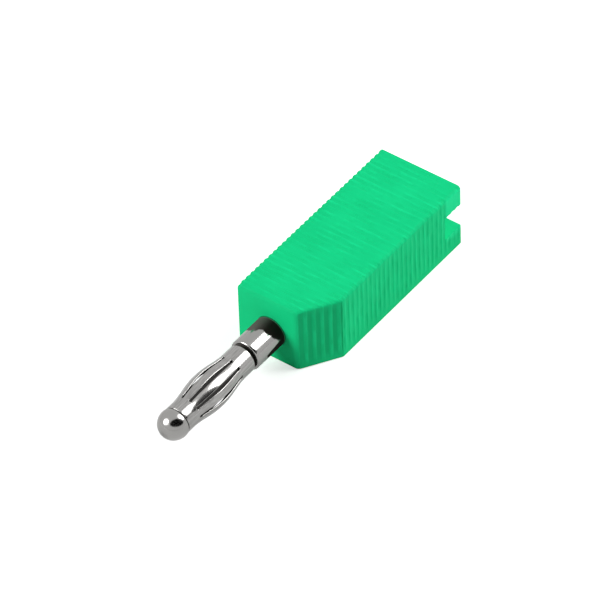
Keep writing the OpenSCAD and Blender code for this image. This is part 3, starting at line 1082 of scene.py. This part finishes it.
def grained_metal(name, roughness, scale, depth, *tints):
    """Metal with a grain in relief: in one tint, or in two between which the grain chooses."""
    material, shader, place = finish(name, roughness, metallic=1.0)
    grain = noise(place, *scale)
    bump(shader, (grain, depth))
    if len(tints) == 1:
        shader.inputs["Base Color"].default_value = tints[0]
    else:
        feed(shader, "Base Color", ramp(grain, (0.3, tints[0]), (0.7, tints[1])))
    return material


bright_sheet = grained_metal("plated_spring", 0.16, (0.5, 6, 6), 0.0003, SHEET_DARK, SHEET_LIGHT)
dull_shaded_sheet = grained_metal("dull_shaded_spring", 0.5, (3, 3, 3), 0.002, DULL_SHADE_DARK, DULL_SHADE_LIGHT)
print(bright_sheet.name, dull_shaded_sheet.name)

# %% [markdown]
# ## The screw's steel, and handing out the finishes
#
# A set screw is cheap steel with a thin zinc plating, duller than nickel and in one even grey. Each
# piece then gets its finish. The cage has two, and its hidden faces take the second.

# %% Screw steel, and all finishes
zinc = grained_metal("zinc_steel", 0.35, (6, 6, 6), 0.002, grey(0.5))
for made, material in [(block, green), (contact, nickel), (tip, nickel), (cage, bright_sheet), (screw, zinc)]:
    made.data.materials.clear()
    made.data.materials.append(material)
cage.data.materials.append(dull_shaded_sheet)
cage.data.polygons.foreach_set("material_index", hidden_faces.astype(int))
print("materials", sorted(material.name for material in bpy.data.materials))

# %% [markdown]
# ## Camera
#
# The photo was taken from far away, from the front right and above. Azimuth and elevation give the
# line of sight, the roll is the camera's own tilt, and the two offsets put the plug where it lies in
# the frame.

# %% Camera
AZIMUTH = radians(128.03)
ELEVATION = radians(43.90)
ROLL = radians(-2.14)
DISTANCE = 677.02
OFFSET_RIGHT = 3.25
OFFSET_UP = 3.47
LENS = 360
SENSOR = 36

to_camera = Vector((sin(AZIMUTH) * cos(ELEVATION), -cos(AZIMUTH) * cos(ELEVATION), sin(ELEVATION)))
level = Vector((cos(AZIMUTH), sin(AZIMUTH), 0))
upright = to_camera.cross(level)
right = cos(ROLL) * level + sin(ROLL) * upright
up = cos(ROLL) * upright - sin(ROLL) * level
camera_at = to_camera * DISTANCE + right * OFFSET_RIGHT + up * OFFSET_UP

camera_data = bpy.data.cameras.new("camera")
camera_data.lens = LENS
camera_data.clip_start = 0.05
camera_data.clip_end = 5
camera_data.sensor_width = SENSOR
camera = placed("camera", camera_data)
axes = Matrix((right, up, to_camera)).transposed().to_4x4()
camera.matrix_world = Matrix.Translation(camera_at * MM) @ axes
bpy.context.scene.camera = camera
print("camera at", [round(v) for v in camera_at], "mm")

# %% [markdown]
# ## Studio
#
# The plug lies on a white table between two soft boxes. For the camera, and for what the metal mirrors,
# the table is lifted towards white. The shadow stays, because the lift is the same in it. The table
# lies a hair below the underside, so that the two never coincide.

# %% Floor
FLOOR_HALF_SIZE = 400
FLOOR_GAP = 0.02
FLOOR_ALBEDO = 0.82
FLOOR_LIFT = 0.6
MIRRORED_LIFT = 0.2


def flat_face(name, corners):
    """One flat face, from its corners in millimetres."""
    mesh = bpy.data.meshes.new(name)
    mesh.from_pydata(corners * MM, [], [range(len(corners))])
    return placed(name, mesh)


def ray_kinds(owner):
    """Whether a ray comes from the camera, and whether a mirror or a clear surface passed it on."""
    rays = add(owner, "LightPath").outputs
    mirrored = maths("MAXIMUM", rays["Is Glossy Ray"], rays["Is Transmission Ray"])
    return rays["Is Camera Ray"], mirrored


corners = np.array([[-1, -1, 0], [1, -1, 0], [1, 1, 0], [-1, 1, 0]]) * FLOOR_HALF_SIZE
floor = flat_face("floor", corners + [0, 0, BASE - FLOOR_GAP])
paper, shader, _ = finish("white_paper", roughness=0.9, specular=0.0)
shader.inputs["Base Color"].default_value = grey(FLOOR_ALBEDO)
from_camera, mirrored = ray_kinds(shader)
mirrored_lift = maths("MULTIPLY", mirrored, MIRRORED_LIFT)
lift = maths("MULTIPLY_ADD", from_camera, FLOOR_LIFT, mirrored_lift)
shader.inputs["Emission Color"].default_value = grey(1)
feed(shader, "Emission Strength", lift)
floor.data.materials.append(paper)
print("floor at", round(BASE - FLOOR_GAP, 2), "mm")

# %% [markdown]
# ## Soft boxes
#
# Two oval lamps stand for the soft boxes: one behind the block on its right, for the ribbed side, and
# one in front on its left, for the front face. The top takes light from both. Both only graze the
# chamfer, so it is darker than the side beside it. They stand close, as for any small thing, so
# the side grows brighter towards the rear by itself.

# %% Lights
LIGHT_DISTANCE = 250


def soft_box(name, direction, width, height, level):
    """An oval lamp that shines at the plug. Its level is the brightness of a white card that faces it:
    power is the level times pi squared times distance squared."""
    data = bpy.data.lights.new(name, "AREA")
    data.shape = "ELLIPSE"
    data.size = width * MM
    data.size_y = height * MM
    data.energy = level * (pi * LIGHT_DISTANCE * MM) ** 2
    away = Vector(direction).normalized()
    turn = away.to_track_quat("Z", "Y").to_matrix().to_4x4()
    placed(name, data).matrix_world = Matrix.Translation(away * LIGHT_DISTANCE * MM) @ turn
    print(name, round(data.energy, 3), "watts")


soft_box("rear_box", (-0.58, 0.44, 0.685), 156, 188, 0.85)
soft_box("front_box", (0.705, -0.463, 0.535), 150, 150, 0.80)

# %% [markdown]
# ## The black card
#
# Bright metal in a white room looks flat. Photographers hang a black card beside the camera, and its
# mirror image gives the metal its dark accents: here an oval on the ball and a patch on a leaf. It is
# hidden from the camera, diffuse light and the lamps.

# %% Black card
CARD_DISTANCE = 150
CARD_ASIDE = radians(20)
CARD_ABOVE = radians(6)
CARD_TILT = radians(15)
CARD_HALF_WIDTH = 167
CARD_HALF_HEIGHT = 73

away = (to_camera + right * np.tan(CARD_ASIDE) + up * np.tan(CARD_ABOVE)).normalized()
turn = np.linspace(0, 2 * pi, 65)[:-1]
wide, high = CARD_HALF_WIDTH * np.cos(turn), CARD_HALF_HEIGHT * np.sin(turn)
c, s = cos(CARD_TILT), sin(CARD_TILT)
outline = np.stack([wide * c - high * s, wide * s + high * c])
card_level = (right - away * right.dot(away)).normalized()
card_up = away.cross(card_level)
card_points = np.array(away) * CARD_DISTANCE + outline.T @ np.array([card_level, card_up])
card = flat_face("black_card", card_points)
card.visible_camera = False
card.visible_diffuse = False
card.visible_shadow = False
velvet, shader, _ = finish("black_velvet", roughness=1.0, specular=0.0)
shader.inputs["Base Color"].default_value = grey(0.004)
card.data.materials.append(velvet)
print("card at", np.round(np.array(away) * CARD_DISTANCE), "mm")

# %% [markdown]
# ## The room
#
# Above the table the room is white. The camera and mirrored rays see it at full strength, but it lights
# the plug only faintly, so that the two soft boxes shape the form.

# %% World
AMBIENT = 0.07

world = bpy.data.worlds.new("studio")
bpy.context.scene.world = world
world.use_nodes = True
backdrop = world.node_tree.nodes["Background"]
seen = maths("MAXIMUM", *ray_kinds(backdrop))
feed(backdrop, "Strength", maths("MULTIPLY_ADD", seen, 1 - AMBIENT, AMBIENT))
backdrop.inputs["Color"].default_value = grey(1)
bpy.context.scene.view_settings.view_transform = "Standard"
print("view transform", bpy.context.scene.view_settings.view_transform)
